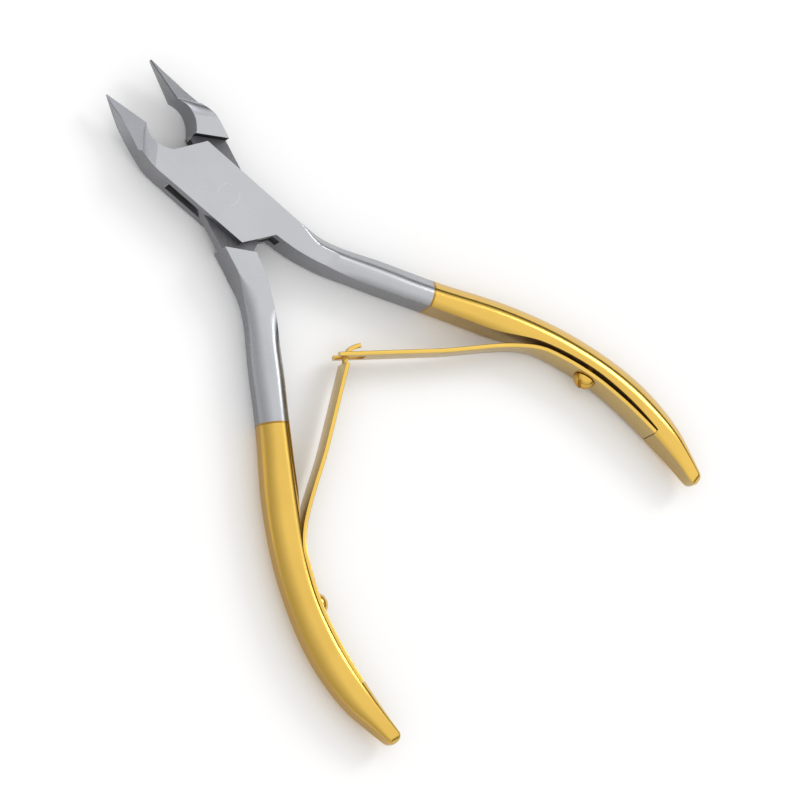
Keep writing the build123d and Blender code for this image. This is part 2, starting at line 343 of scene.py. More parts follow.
GRAIN, PATINA, WORN, RELIEF = grain_group(), patina_group(), wear_group(), bump_group()
SIDE_SHADE_MASK = side_shade_mask_group()
print("shared groups:", [group.name for group in (GRAIN, PATINA, WORN, RELIEF, SIDE_SHADE_MASK)])


def use(tree, group, **values):
    """A group node in a tree, with numbers or sockets put on its named inputs."""
    node = tree.nodes.new("ShaderNodeGroup")
    node.node_tree = group
    for name, value in values.items():
        feed(tree, node.inputs[name.replace("_", " ")], value)
    return node.outputs[0]


# %% [markdown]
# ## Metals
# Steel and gilding share a recipe: a metallic base, a roughness from the handling clouds and
# the corner wear, and a very shallow grain. Side walls take a second, darker colour, which is
# painted shade: they mirror the paper in the nipper's shadow. Only the colours, gloss and grain
# size differ.

# %% Metals
def metal(name, colour, rough, side=None, grain=(900.0, 14.0, 0.0), depth=0.0005, swing=0.06):
    """A metal with grain, handling clouds and brighter worn corners."""
    material = bpy.data.materials.new(name)
    material.use_nodes = True
    tree = material.node_tree
    shader = tree.nodes["Principled BSDF"]
    shader.inputs["Metallic"].default_value = 1.0
    grain_value = use(tree, GRAIN, Scale=grain[0], Stretch=grain[1], Turn=grain[2])
    clouds = use(tree, PATINA, Scale=110.0)
    worn = use(tree, WORN, Breakup=900.0)
    dark = tuple(c * 0.92 for c in colour)
    tone = mix_colour(tree, clouds, (*colour, 1), (*dark, 1))
    # side, where given, is painted shade: a darker colour mixed in on side walls, which mirror the
    # shaded paper
    if side:
        tone = mix_colour(tree, use(tree, SIDE_SHADE_MASK), (*side, 1), tone)
    bright = tuple(min(1.0, c * 1.12) for c in colour)
    tree.links.new(mix_colour(tree, worn, tone, (*bright, 1)), shader.inputs["Base Color"])
    gloss = spread(tree, clouds, 0, 1, rough - swing / 2, rough + swing / 2)
    fine = math_node(tree, "ADD", gloss, spread(tree, grain_value, 0.3, 0.7, -0.015, 0.015))
    rubbed = math_node(tree, "SUBTRACT", fine, math_node(tree, "MULTIPLY", worn, 0.08))
    tree.links.new(rubbed, shader.inputs["Roughness"])
    tree.links.new(use(tree, RELIEF, Height=grain_value, Depth_mm=depth), shader.inputs["Normal"])
    return material


SATIN = 1500.0              # how many grains of polish there are in a metre
# The second steel colour is painted shade on side walls, which mirror the shaded paper.
STEEL, FLANK_SHADE = (0.50, 0.51, 0.53), (0.25, 0.25, 0.265)
ACROSS_JAW = (2200.0, 30.0, math.pi / 2)
steel_right = metal("Satin steel, right", STEEL, 0.28, FLANK_SHADE, (SATIN, 18.0, -OPEN_HALF))
steel_left = metal("Satin steel, left", STEEL, 0.28, FLANK_SHADE, (SATIN, 18.0, OPEN_HALF))
pin_steel = metal("Rivet", STEEL, 0.28, FLANK_SHADE)
ground = metal("Ground jaw face", (0.42, 0.43, 0.46), 0.26, grain=ACROSS_JAW, depth=0.0004)
honed = metal("Honed cutting edge", (0.13, 0.13, 0.14), 0.35, grain=ACROSS_JAW)
# The recess colour is dark partly for its rough milled finish and partly as painted shade in the
# recesses; its second colour is a darker painted shade on their side walls.
recess = metal("Milled recess", (0.17, 0.17, 0.18), 0.5, (0.06, 0.06, 0.065), (1600.0, 2.0, 0.6),
               depth=0.08, swing=0.2)
# The gilding's second colour is painted shade on side walls.
gilt = metal("Gilding", (0.80, 0.52, 0.115), 0.17, (0.50, 0.30, 0.055), (SATIN, 18.0, 0.3))
# The inner gilding's darker, paler colour is painted shade on the inner side faces; its higher
# roughness is a duller finish.
gilt_inner_shade = metal("Gilded inner face", (0.50, 0.36, 0.145), 0.36, None, (SATIN, 18.0, 0.3), 0.001)
gilt_lip = metal("Plating lip", (0.42, 0.24, 0.05), 0.30, None, (SATIN, 18.0, 0.3))
# The spring's second colour is painted shade on its side walls, which are the strip's broad upright
# faces.
spring_gilt = metal("Gilt spring steel", (0.85, 0.57, 0.13), 0.22, (0.54, 0.39, 0.15),
                    (1800.0, 20.0, 0.5))
# The screw's second colour is painted shade on its upright faces.
screw_gilt = metal("Gilt screw", (0.80, 0.50, 0.10), 0.16, (0.55, 0.33, 0.06), (2500.0, 3.0, 0.5))
print("materials in the file so far:", len(bpy.data.materials))

# %% [markdown]
# ## The side profile and the section
# Seen from the side, the joint is a flat plate and the handle is a little higher and crowned.
# The crown is forged, and then the plate is milled flat across it, so the flat runs out along
# the neck in a curved line where the crown drops below it. The outer flank of a jaw is a
# plain slope that leans in, up to the face that will be ground on it. A sculpted surface could
# give all this, but a height worked out at each place stays fair and is easy to change.

# %% Heights and rounding
EDGE_HEEL = Vector((0, HEEL_Y, PLATE_TOP))
EDGE_TIP = Vector((0, TIP_Y, MID + 0.7))
JAW_RIDGE = Vector((-2.1, 18.3, MID + 0.3))
MILLED_UNTIL, MILLED_GONE = -16.5, -21.0    # where the milled flat starts to run out, and ends
MILLED_RISE = 0.9           # how far the milled flat has risen there, well clear of the crown
NECK_DIP = 0.36             # how much lower the forging is behind the joint than along the handle
CROWN_INNER, CROWN_OUTER = (1.7, 0.92), (2.7, 2.0)  # reach and depth of the crown's two sides


def ground_height(x, y):
    """The height of the jaw's ground face, a plane through the cutting edge and one ridge point."""
    normal = (EDGE_TIP - EDGE_HEEL).cross(JAW_RIDGE - EDGE_HEEL)
    return EDGE_HEEL.z - (normal.x * (x - EDGE_HEEL.x) + normal.y * (y - EDGE_HEEL.y)) / normal.z


def rolled(distance, reach, depth):
    """How far a surface has dropped near an edge, along a quarter of an ellipse."""
    t = 1 - min(max(distance / reach, 0), 1)
    return depth * (1 - math.sqrt(max(1 - t * t, 0)))


def crowned(distance, reach, depth):
    """How far a crown has dropped near an edge: its slope grows evenly towards it."""
    return depth * (1 - min(max(distance / reach, 0), 1)) ** 2


def end_shrink(y):
    """The share of the full height left near the rounded end of the handle."""
    taper = 1 - 0.6 * max((-60 - y) / 18, 0) ** 2.4 if y < -60 else 1.0
    past = (END_CENTRE[1] - y) / END_RADIUS
    return taper * math.sqrt(max(1 - max(past, 0) ** 2, 0.0))


def half_height(x, y, x0, x1):
    """Half the lever's height at a place in the plan."""
    plate = PLATE_TOP - MID
    if y > PLATE_CORNER[1]:
        return plate
    full = MID * end_shrink(y) - NECK_DIP * (1 - ramp(-y, 17.0, 30.0))
    grow, inner_grow = ramp(-y, 9.0, 15.0), ramp(-y, 15.5, 23.0)
    squeeze = min(1.0, (x1 - x0) / (CROWN_INNER[0] + CROWN_OUTER[0])) * full / MID
    inner = crowned(x - x0, CROWN_INNER[0] * squeeze,
                    CROWN_INNER[1] * squeeze * (0.04 + 0.96 * inner_grow))
    outer = crowned(x1 - x, CROWN_OUTER[0] * squeeze * (0.02 + 0.98 * grow),
                    CROWN_OUTER[1] * squeeze * grow)
    crown = full - inner - outer
    milled = plate + MILLED_RISE * ramp(-y, -MILLED_UNTIL, -MILLED_GONE)
    return max(min(crown, milled), 0.02)


# %% [markdown]
# ## Skinning the lever
# Each station gives one closed ring of points: across the top, down one side, back along the
# underside and up the other side. Rings with the same number of points join into quads.
# The points crowd towards the long edges, where the surface turns fastest.

# %% Skin a lever
ACROSS = 44                 # points across the top of a ring
SIDE = 12                   # points down each side
JAW_FROM, UNDER_FROM = 9.0, 9.9         # where the jaw starts, above and below
UNDER_ROLL = (0.8, 0.5)     # reach and depth of the roll along the underside's outer edge
JAW_LEAN, LEAN_FROM, LEAN_FULL = 0.85, 9.6, 16.5
LEAST_FLANK = 0.8           # the least height that the lean is spread over


def jaw_lean(y):
    """How far the jaw's outer flank leans in near the ground face."""
    return JAW_LEAN * ramp(y, LEAN_FROM, LEAN_FULL)


def lean_in(z, y, x0):
    """The inset of the jaw's outer flank at a height: a plain slope up to the ground face."""
    reach = jaw_lean(y)
    if reach < 0.01:
        return 0.0
    brow = min(ground_height(x0 + 0.7 * reach, y), PLATE_TOP)
    width = max(right_limit(y) - x0, 0.05)
    low = under_height(y)
    inset = reach * max(z - low, 0) / max(brow - low, LEAST_FLANK)
    return min(inset, width * 0.45)


def under_height(y):
    """The underside, which slopes up beneath the jaw."""
    return PLATE_LOW + max(y - UNDER_FROM, 0) * (MID + 0.1 - PLATE_LOW) / 12.6


def ring(y):
    """One closed ring of points round the lever."""
    x0, x1 = left_limit(y), right_limit(y)
    shares = (1 - np.cos(np.linspace(0, math.pi, ACROSS))) / 2
    jaw = y > JAW_FROM
    top, under = [], []
    for share in shares.tolist():
        x = x0 + (x1 - x0) * share
        half = half_height(x, y, x0, x1)
        low = MID - half
        if jaw:
            low = under_height(y) + rolled(x - x0, UNDER_ROLL[0], UNDER_ROLL[1] * ramp(y, 9, 13))
        top.append((x, MID + half))
        under.append((x, low))
    right, left = [], []
    for t in np.linspace(0, 1, SIDE + 2)[1:-1].tolist():
        right.append((x1, top[-1][1] + (under[-1][1] - top[-1][1]) * t))
        left.append((x0, under[0][1] + (top[0][1] - under[0][1]) * t))
    points = top + right + under[::-1] + left
    if jaw:
        shift = [lean_in(z, y, x0) for _, z in points]
        width = max(x1 - x0, 0.01)
        points = [(x + s * (x1 - x) / width, z) for (x, z), s in zip(points, shift)]
    return [(x, y, z) for x, z in points]


def stations():
    """Places along y, close together where the outline or the height changes fast."""
    runs = ((TIP_Y - 0.05, 9.9, 84), (9.8, 6.95, 14), (6.4, -5.7, 14), (-5.8, -8.75, 18),
            (-8.8, -9.88, 8), (-9.91, -24, 86), (-24.5, -66, 84), (-66.5, END_CENTRE[1], 30))
    along = [y for start, stop, count in runs for y in np.linspace(start, stop, count).tolist()]
    turns = np.linspace(0.1, math.pi / 2 - 0.12, 14).tolist()
    return along + [END_CENTRE[1] - END_RADIUS * math.sin(a) for a in turns]


def skin(rings):
    """A closed mesh through a list of rings of points in millimetres."""
    count = len(rings[0])
    bm = bmesh.new()
    rows = [[bm.verts.new(Vector(p) * MM) for p in points] for points in rings]
    for a, b in zip(rows[:-1], rows[1:]):
        for i in range(count):
            j = (i + 1) % count
            bm.faces.new((a[i], a[j], b[j], b[i]))
    bm.faces.new(rows[0][::-1])
    bm.faces.new(rows[-1])
    bmesh.ops.remove_doubles(bm, verts=bm.verts, dist=1e-7)
    bmesh.ops.recalc_face_normals(bm, faces=bm.faces)
    return bm


def to_object(bm, name, material=None):
    mesh = bpy.data.meshes.new(name)
    bm.to_mesh(mesh)
    bm.free()
    obj = bpy.data.objects.new(name, mesh)
    bpy.context.scene.collection.objects.link(obj)
    if material:
        mesh.materials.append(material)
    return obj


# %% [markdown]
# ## Cutting the joint and grinding the jaw
# In a box joint one lever has a slot through it and the other has a thin tongue that passes
# through that slot. On the bench both are milled out of a solid blank, so the same is done
# here: a shape is subtracted with an exact Boolean, which keeps the milled corners crisp. Each
# cutter carries the material of the faces it leaves, which in the recesses and the rebate is
# partly painted shade, and the Boolean hands it to the cut faces.

# %% Prisms and cuts
SLOT_HALF, TONGUE_HALF = 1.05, 1.0      # half the thickness of the slot and of the tongue
SLOT_RADIUS, TONGUE_RADIUS = 8.3, 8.15
SLOT_SIDE, NECK_SIDE = 0.55, 0.45
FAR = 30.0                  # well clear of the lever
THROAT_LEVEL = 12.0         # the slot leaves the lever through its throat


def prism(outline, low, high, finish):
    """A plan outline in millimetres, raised between two heights."""
    return to_object(skin([[(x, y, z) for x, y in outline] for z in (low, high)]), "cutter", finish)


def cut(target, cutter):
    """Subtract the cutter from the target and throw the cutter away."""
    modifier = target.modifiers.new("cut", "BOOLEAN")
    modifier.operation = "DIFFERENCE"
    modifier.solver = "EXACT"
    modifier.material_mode = "TRANSFER"
    modifier.object = cutter
    bpy.context.view_layer.update()
    graph = bpy.context.evaluated_depsgraph_get()
    result = bpy.data.meshes.new_from_object(target.evaluated_get(graph))
    target.modifiers.clear()
    target.data = result
    bpy.data.objects.remove(cutter)


def arc(radius, start, end, steps=28):
    """Points round the pivot, between two angles in degrees."""
    return [(radius * math.cos(a), radius * math.sin(a))
            for a in np.radians(np.linspace(start, end, steps)).tolist()]


def slot_outline():
    """The slot, open on the jaw side to the right and on the handle side to the left."""
    edge = math.degrees(math.acos(SLOT_SIDE / SLOT_RADIUS))
    return ([(SLOT_SIDE, -9.9), (-FAR, -9.9), (-FAR, 0)]
            + arc(SLOT_RADIUS, 180, 180 - edge)[:-1]
            + [(-SLOT_SIDE, THROAT_LEVEL), (FAR, THROAT_LEVEL), (FAR, 0)]
            + arc(SLOT_RADIUS, 0, -edge))


# %% [markdown]
# ## The spring's rebate and the ground jaw face
# The rebate that the spring lies in is a plain prism along the handle's inner face. The jaw is
# ground on a wheel, which leaves a flat face, a crease where the wheel's edge ran, and a
# rounded roll behind it. The wheel is a row of profiles set along the crease, because one
# plane could give only the flat.

# %% The spring's rebate and the ground face
REBATE_START, REBATE_END = -40.0, -68.4
SPRING_BACK = 0.75          # how deep the spring's back lies
CLEARANCE = 0.32            # the gap behind the spring, which closes towards its ends
REBATE_FULL = 48.0          # where the rebate, which starts gently, is as deep as it gets


def rebate_depth(y):
    """The rebate starts gently and is deepest between its ends."""
    t = (y - REBATE_START) / (REBATE_END - REBATE_START)
    depth = SPRING_BACK + CLEARANCE * math.sin(math.pi * min(max(t, 0), 1)) ** 0.8
    return depth * ramp(-y, -REBATE_START, REBATE_FULL)


def rebate_outline():
    ys = np.linspace(REBATE_START, REBATE_END, 44).tolist()
    wall = [(inner_face(y) + rebate_depth(y), y) for y in ys[::-1]]
    return [(inner_face(y) - 3, y) for y in ys] + wall


CREASE = [(5.4, 18.1), (3.2, 17.0), (0.6, 15.6), (-1.7, 14.45), (-3.3, 13.45), (-5.0, 12.4),
          (-7.0, 11.2)]
ROLL_REACH = 2.8            # how far behind the crease the surface rolls up to the plate
FLANK_REACH = 0.8           # the share of that reach left at the outer flank
WHEEL_WIDTH, WHEEL_TOP = 14.0, 11.0


def smooth_line(points, pieces=4, passes=6):
    """A plan line cut into pieces and relaxed, so that its corners become a curve."""
    dense = [Vector(a).lerp(Vector(b), t / pieces)
             for a, b in zip(points, points[1:]) for t in range(pieces)]
    for _ in range(passes):
        relaxed = [(p + q * 2 + r) / 4 for p, q, r in zip(dense, dense[1:], dense[2:])]
        dense = [dense[0]] + relaxed + [dense[-1]]
    return dense


def ground_cutter(finish):
    """What the wheel removes: a flat, and behind its crease a roll up to the plate."""
    line = smooth_line(CREASE)
    rings = []
    for i, point in enumerate(line):
        along = (line[min(i + 1, len(line) - 1)] - line[max(i - 1, 0)]).normalized()
        back = Vector((-along.y, along.x))
        back = back if back.y < 0 else -back
        low = ground_height(point.x, point.y)
        drop = max(PLATE_TOP - low, 0.01)
        share = 1 - (1 - FLANK_REACH) * ramp(-point.x, 0.6, 3.6)
        reach = ROLL_REACH * share * min(0.25 + drop / 2.0, 1.0)
        front = point - back * WHEEL_WIDTH
        profile = [(front.x, front.y, ground_height(front.x, front.y)), (point.x, point.y, low)]
        for degrees in range(30, 91, 5):
            a = math.radians(degrees)
            p = point + back * (reach * (1 - math.cos(a)))
            profile.append((p.x, p.y, low + drop * math.sin(a)))
        profile += [(p.x, p.y, WHEEL_TOP), (front.x, front.y, WHEEL_TOP)]
        rings.append(profile)
    return to_object(skin(rings), "wheel", finish)


def edge_cutter(finish):
    """The narrow second bevel along the cutting edge."""
    rings = []
    for y in (HEEL_Y - 0.6, TIP_Y + 0.8):
        z = ground_height(0, y)
        rings.append([(-0.2, y, z + 0.02), (0.6, y, z - 1.1), (0.6, y, z + 1.5),
                      (-0.2, y, z + 1.5)])
    return to_object(skin(rings), "stone", finish)


# %% [markdown]
# ## Shading and wear
# Even a sharp machined corner is rubbed by polishing. Faces are shaded smoothly except across
# the sharp corners, and each corner gets a wear value, which the finishes use to brighten it.
# A milled or ground flat is shaded flat, so that it mirrors like one plane. A Bevel modifier
# could round the corners too, but on Boolean cuts it leaves small folds.

# %% Smooth shading and wear
FLAT_DOT = 0.99998          # closer to the main direction than this is flat
FULL_WEAR = math.radians(70)            # a corner as sharp as this is fully worn
SMALL_FACE = 0.3 * MM * MM  # wear is put on small faces, because on a large one it would spread


def main_directions(bm):
    """The direction that most of each finish's area faces: its milled or ground flat."""
    areas = {}
    for face in bm.faces:
        key = (face.material_index, *(round(v, 3) for v in face.normal))
        areas.setdefault(key, [0.0, face.normal.copy()])[0] += face.calc_area()
    best = {}
    for (index, *_), (area, normal) in areas.items():
        if area > best.get(index, (0.0, None))[0]:
            best[index] = (area, normal)
    return {index: normal for index, (_, normal) in best.items()}


def finish_edges(obj, angle=26):
    """Smooth shading between sharp edges, and a wear value near each sharp edge."""
    bm = bmesh.new()
    bm.from_mesh(obj.data)
    bmesh.ops.remove_doubles(bm, verts=bm.verts, dist=1e-6)
    bmesh.ops.dissolve_degenerate(bm, edges=bm.edges, dist=1e-6)
    bmesh.ops.recalc_face_normals(bm, faces=bm.faces)
    limit = math.radians(angle)
    layer = bm.verts.layers.float.new(WEAR)
    flats = main_directions(bm)
    for face in bm.faces:
        face.smooth = face.normal.dot(flats[face.material_index]) < FLAT_DOT
    for edge in bm.edges:
        turn = edge.calc_face_angle(0.0)
        edge.smooth = turn < limit
        for vert in edge.verts:
            fine = max(face.calc_area() for face in vert.link_faces) < SMALL_FACE
            if turn > limit and fine:
                vert[layer] = max(vert[layer], min(turn / FULL_WEAR, 1.0))
    open_edges = sum(1 for edge in bm.edges if not edge.is_manifold)
    bm.to_mesh(obj.data)
    bm.free()
    print(obj.name, "faces", len(obj.data.polygons), "open edges", open_edges)


# %% [markdown]
# ## The two levers
# The box lever is turned to one side of the centre line. The tongue lever is drawn the same
# way round, mirrored, and turned to the other side, so the two really are a pair. The gilding
# starts at a line square to the handle, with a narrow darker lip. The gilding could be a mask
# in one material, but a cut edge in the mesh keeps the line sharp in every export.

# %% Make the levers
PLATING = ((7.85, -31.9), (11.2, -30.3))    # the plating line, from the inner to the outer edge
LIP = 0.3
PIN_FIT = 0.003             # how much smaller the cut is than the pin, so no gap shows
STEP_TOP, SIDE_REACH = 9.36, 9.0        # the tongue's step beside the throat, and past the sides


def place(obj, mirrored):
    """Turn a closed piece to its place at rest, on the right or, mirrored, on the left."""
    turn = Matrix.Rotation(-OPEN_HALF if mirrored else OPEN_HALF, 4, "Z")
    flip = Matrix.Diagonal((-1, 1, 1, 1)) if mirrored else Matrix.Identity(4)
    obj.data.transform(turn @ flip)
    if mirrored:
        obj.data.flip_normals()


def plate_with_gold(lever):
    """Split the handle at the plating line and give the far side its gilding, with painted shade on
    the inner side faces.
    """
    (x0, y0), (x1, y1) = PLATING
    forward = Vector((-(y1 - y0), x1 - x0, 0)).normalized()
    start = Vector((x0, y0, 0))
    bm = bmesh.new()
    bm.from_mesh(lever.data)
    for back in (0, LIP):
        bmesh.ops.bisect_plane(bm, geom=bm.verts[:] + bm.edges[:] + bm.faces[:], dist=1e-8,
                               plane_co=(start - forward * back) * MM, plane_no=forward)
    names = [material.name if material else "" for material in lever.data.materials]
    for material in (gilt, gilt_inner_shade, gilt_lip):
        if material.name not in names:
            lever.data.materials.append(material)
            names.append(material.name)
    for face in bm.faces:
        past = (start - face.calc_center_median() / MM).dot(forward)
        if past < 0:
            continue
        if past < LIP:
            face.material_index = names.index(gilt_lip.name)
        # Inner side faces take the inner gilding, whose darker, paler colour is painted shade.
        elif face.normal.x < -0.75 and abs(face.normal.z) < 0.4:
            face.material_index = names.index(gilt_inner_shade.name)
        elif names[face.material_index] != gilt_inner_shade.name:
            face.material_index = names.index(gilt.name)
    bm.to_mesh(lever.data)
    bm.free()


def make_blank(name, steel):
    """A closed lever, ground at the jaw and rebated for its spring, before its joint is cut."""
    lever = to_object(skin([ring(y) for y in stations()]), name, steel)
    cut(lever, ground_cutter(ground))
    cut(lever, edge_cutter(honed))
    cut(lever, prism(rebate_outline(), -1, 9, gilt_inner_shade))
    return lever


def make_box_lever():
    lever = make_blank("box_lever_forging", steel_right)
    cut(lever, prism(slot_outline(), MID - SLOT_HALF, MID + SLOT_HALF, recess))
    cut(lever, prism(arc(PIN_RADIUS - PIN_FIT, 0, 354.375, 64), -1, 9, recess))
    plate_with_gold(lever)
    place(lever, mirrored=False)
    return lever


def step_line(line, gap):
    """A straight step across the joint, set back by a gap, as a function of x."""
    (xa, ya), (xb, yb) = line
    return lambda x: between((ya, -xa), (yb, -xb), x) + gap


def tongue_corner():
    """The corner beyond the tongue's rounded end, beside the throat."""
    edge = math.degrees(math.acos(NECK_SIDE / TONGUE_RADIUS))
    rounded = arc(TONGUE_RADIUS, 30, edge)
    return rounded + [(NECK_SIDE, STEP_TOP), (SIDE_REACH, STEP_TOP), (SIDE_REACH, 6)]


def make_tongue_lever():
    lever = make_blank("tongue_lever_forging", steel_left)
    front = step_line((THROAT_END, PLATE_FRONT), 0.12)
    rear = step_line((PLATE_REAR, CROTCH), -0.6)
    sides = (-SIDE_REACH, SIDE_REACH)
    zone = [(x, front(x)) for x in sides] + [(x, rear(x)) for x in sides[::-1]]
    cut(lever, prism(zone, MID + TONGUE_HALF, 9, recess))
    cut(lever, prism(zone, -2, MID - TONGUE_HALF, recess))
    reach = TONGUE_HALF + 0.01
    cut(lever, prism(tongue_corner(), MID - reach, MID + reach, recess))
    plate_with_gold(lever)
    place(lever, mirrored=True)
    return lever


box_lever = make_box_lever()
tongue_lever = make_tongue_lever()
for lever in (box_lever, tongue_lever):
    finish_edges(lever)

# %% [markdown]
# ## The route of a leaf spring
# Each spring is one strip of gilt steel. Its root is clamped in the handle's rebate, and its
# blade bends away and hooks over the other spring. One smooth curve gives the whole route. A
# drawn curve object could hold it, but here it has to follow the handle's own inner face.

# %% Spring routes
THICK = 0.62
ROOT_SUNK = 0.05
ROOT_WIDTH = 4.6
CROSSING = Vector((0.0, -27.9))
ROOT_END_Y, FLEX_Y = -68.34, -49.4
SHOULDER, PRONG_REACH, PRONG_SLOT = 1.3, 1.5, 2.7
PRONG_GAP, TIP_WIDTH = 1.6, 1.0
TIP_TOP, TIP_END = Vector((-0.95, -27.5)), Vector((-2.6, -28.0))    # the curl of the left tip
TIP_OVER, TIP_DOWN = Vector((-1.0, -0.05)), Vector((-0.85, -0.5))


def at_rest(x, y):
    """A closed plan point of the box lever, turned to its place at rest."""
    c, s = math.cos(OPEN_HALF), math.sin(OPEN_HALF)
    return Vector((x * c - y * s, x * s + y * c))


def root_route():
    """The middle of the strip inside the channel, from its end to the flex line."""
    middle = ROOT_SUNK + THICK / 2 + 0.02
    ys = np.linspace(ROOT_END_Y, FLEX_Y, 30).tolist()
    return [at_rest(inner_face(y) + middle, y) for y in ys]


def hermite(p0, p1, m0, m1, steps):
    """A cubic curve between two points with given end slopes."""
    out = []
    for t in np.linspace(0, 1, steps).tolist():
        out.append((2 * t**3 - 3 * t**2 + 1) * p0 + (t**3 - 2 * t**2 + t) * m0
                   + (-2 * t**3 + 3 * t**2) * p1 + (t**3 - t**2) * m1)
    return out


BLADE_MID = Vector((11.0, -35.55))
CROSS_WAY = (CROSSING - BLADE_MID).normalized()


def blade_route(extra):
    """The strip's middle from the flex line to a point so far past the crossing."""
    root = root_route()
    start, before = root[-1], root[-2]
    leave = (start - before).normalized()
    length = (BLADE_MID - start).length
    first = hermite(start, BLADE_MID, leave * length * 0.8, CROSS_WAY * length, 40)
    end = CROSSING + CROSS_WAY * extra
    third = hermite(BLADE_MID, end, CROSS_WAY * (end - BLADE_MID).length,
                    CROSS_WAY * (end - BLADE_MID).length, 26)
    return root[:-1] + first[:-1] + third


# %% [markdown]
# ## The strip itself
# A strip that follows a path is a job for Geometry Nodes. A rounded rectangle is swept along
# the path, and the points above and below the middle are then moved up and down to the half
# width that is stored at each point of the path. The long edges are eased, so that they catch a
# thin highlight. Thickness, width, corner and finish are inputs of the tree, and both springs
# share it.

# %% Strip tree
HALF_WIDTH = "half_width"   # the path's attribute that says how wide the strip is
EASED = 0.13                # the radius of the strip's long edges
EASED_POINTS = 3            # how many more points each eased corner gets
STRIP_INPUTS = {"Path": "Geometry", "Thickness": "Float", "Width": "Float", "Corner": "Float",
                "Level": "Float", "Finish": "Material"}


def strip_tree():
    """The node tree that sweeps a rounded rectangle and stretches it to the stored width."""
    tree = bpy.data.node_groups.new("Leaf strip", "GeometryNodeTree")
    for name, kind in STRIP_INPUTS.items():
        tree.interface.new_socket(name, in_out="INPUT", socket_type="NodeSocket" + kind)
    tree.interface.new_socket("Strip", in_out="OUTPUT", socket_type="NodeSocketGeometry")
    given = tree.nodes.new("NodeGroupInput").outputs

    def node(kind, **inputs):
        """A geometry node with sockets linked to its named inputs."""
        made = tree.nodes.new("GeometryNode" + kind)
        for name, source in inputs.items():
            feed(tree, made.inputs[name.replace("_", " ")], source)
        return made

    upright = node("SetCurveNormal", Curve=node("MeshToCurve", Mesh=given["Path"]).outputs[0])
    upright.mode = "Z_UP"
    section = node("CurvePrimitiveQuadrilateral", Width=given["Thickness"], Height=given["Width"])
    eased = node("FilletCurve", Curve=section.outputs[0], Radius=given["Corner"])
    eased.mode = "POLY"
    eased.inputs["Count"].default_value = EASED_POINTS
    sweep = node("CurveToMesh", Curve=upright.outputs[0], Profile_Curve=eased.outputs[0],
                 Fill_Caps=True)
    return finish_strip(tree, sweep.outputs[0], given)


def finish_strip(tree, mesh, given):
    """Stretch the swept section, give it its finish and put it on the tree's output."""
    link = tree.links.new
    axes = tree.nodes.new("ShaderNodeSeparateXYZ")
    link(tree.nodes.new("GeometryNodeInputPosition").outputs[0], axes.inputs[0])
    side = math_node(tree, "SIGN", math_node(tree, "SUBTRACT", axes.outputs["Z"], given["Level"]))
    stored = tree.nodes.new("GeometryNodeInputNamedAttribute")
    stored.data_type = "FLOAT"
    stored.inputs["Name"].default_value = HALF_WIDTH
    extra = math_node(tree, "SUBTRACT", stored.outputs["Attribute"],
                      math_node(tree, "MULTIPLY", given["Width"], 0.5))
    shift = tree.nodes.new("ShaderNodeCombineXYZ")
    link(math_node(tree, "MULTIPLY", side, extra), shift.inputs["Z"])
    moved = tree.nodes.new("GeometryNodeSetPosition")
    link(mesh, moved.inputs["Geometry"])
    link(shift.outputs[0], moved.inputs["Offset"])
    solid = tree.nodes.new("GeometryNodeRealizeInstances")
    link(moved.outputs[0], solid.inputs[0])
    dressed = tree.nodes.new("GeometryNodeSetMaterial")
    link(solid.outputs[0], dressed.inputs["Geometry"])
    link(given["Finish"], dressed.inputs["Material"])
    link(dressed.outputs[0], tree.nodes.new("NodeGroupOutput").inputs[0])
    return tree


STRIP = strip_tree()


def strip(route, width_at, name):
    """A flat strip on edge along a plan route, made a plain mesh."""
    path = bpy.data.meshes.new(name + "_path")
    path.from_pydata([Vector((p.x, p.y, MID)) * MM for p in route],
                     [(i, i + 1) for i in range(len(route) - 1)], [])
    stored = path.attributes.new(HALF_WIDTH, "FLOAT", "POINT")
    stored.data.foreach_set("value", [width_at(i) / 2 * MM for i in range(len(route))])
    leaf = bpy.data.objects.new(name, path)
    bpy.context.scene.collection.objects.link(leaf)
    sweep = leaf.modifiers.new("strip", "NODES")
    sweep.node_group = STRIP
    values = {"Thickness": THICK * MM, "Width": SPRING_WIDTH * MM, "Corner": EASED * MM,
              "Level": MID * MM, "Finish": spring_gilt}
    for socket in STRIP.interface.items_tree:
        if socket.name in values:
            sweep[socket.identifier] = values[socket.name]
    bpy.context.view_layer.update()
    graph = bpy.context.evaluated_depsgraph_get()
    solid = bpy.data.meshes.new_from_object(leaf.evaluated_get(graph))
    leaf.modifiers.clear()
    leaf.data = solid
    solid.name = name
    print(name, "sections", len(route), "faces", len(solid.polygons))
    return leaf


# %% [markdown]
# ## The two springs' ends
# The right strip's end is forked, by cutting a slot out of it. The left strip narrows to a tip
# that passes between the prongs and curls over. Both could be modelled by hand on the finished
# mesh, but a cut and a stored width keep them exact.

# %% Make the springs
def leaf_width(i):
    """A leaf is widest where it is clamped; the root takes the first 30 steps of its route."""
    return ROOT_WIDTH + (SPRING_WIDTH - ROOT_WIDTH) * ramp(i, 24, 44)


def right_spring():
    """The strip whose end is forked into two prongs."""
    route = blade_route(PRONG_REACH)
    spring = strip(route, leaf_width, "right_leaf_spring")
    a = CROSSING - CROSS_WAY * PRONG_SLOT
    b = CROSSING + CROSS_WAY * (PRONG_REACH + 2)
    side = Vector((-CROSS_WAY.y, CROSS_WAY.x)) * 2
    slot = [a + side, b + side, b - side, a - side]
    low, high = MID - PRONG_GAP / 2, MID + PRONG_GAP / 2
    cut(spring, prism([tuple(p) for p in slot], low, high, spring_gilt))
    return spring


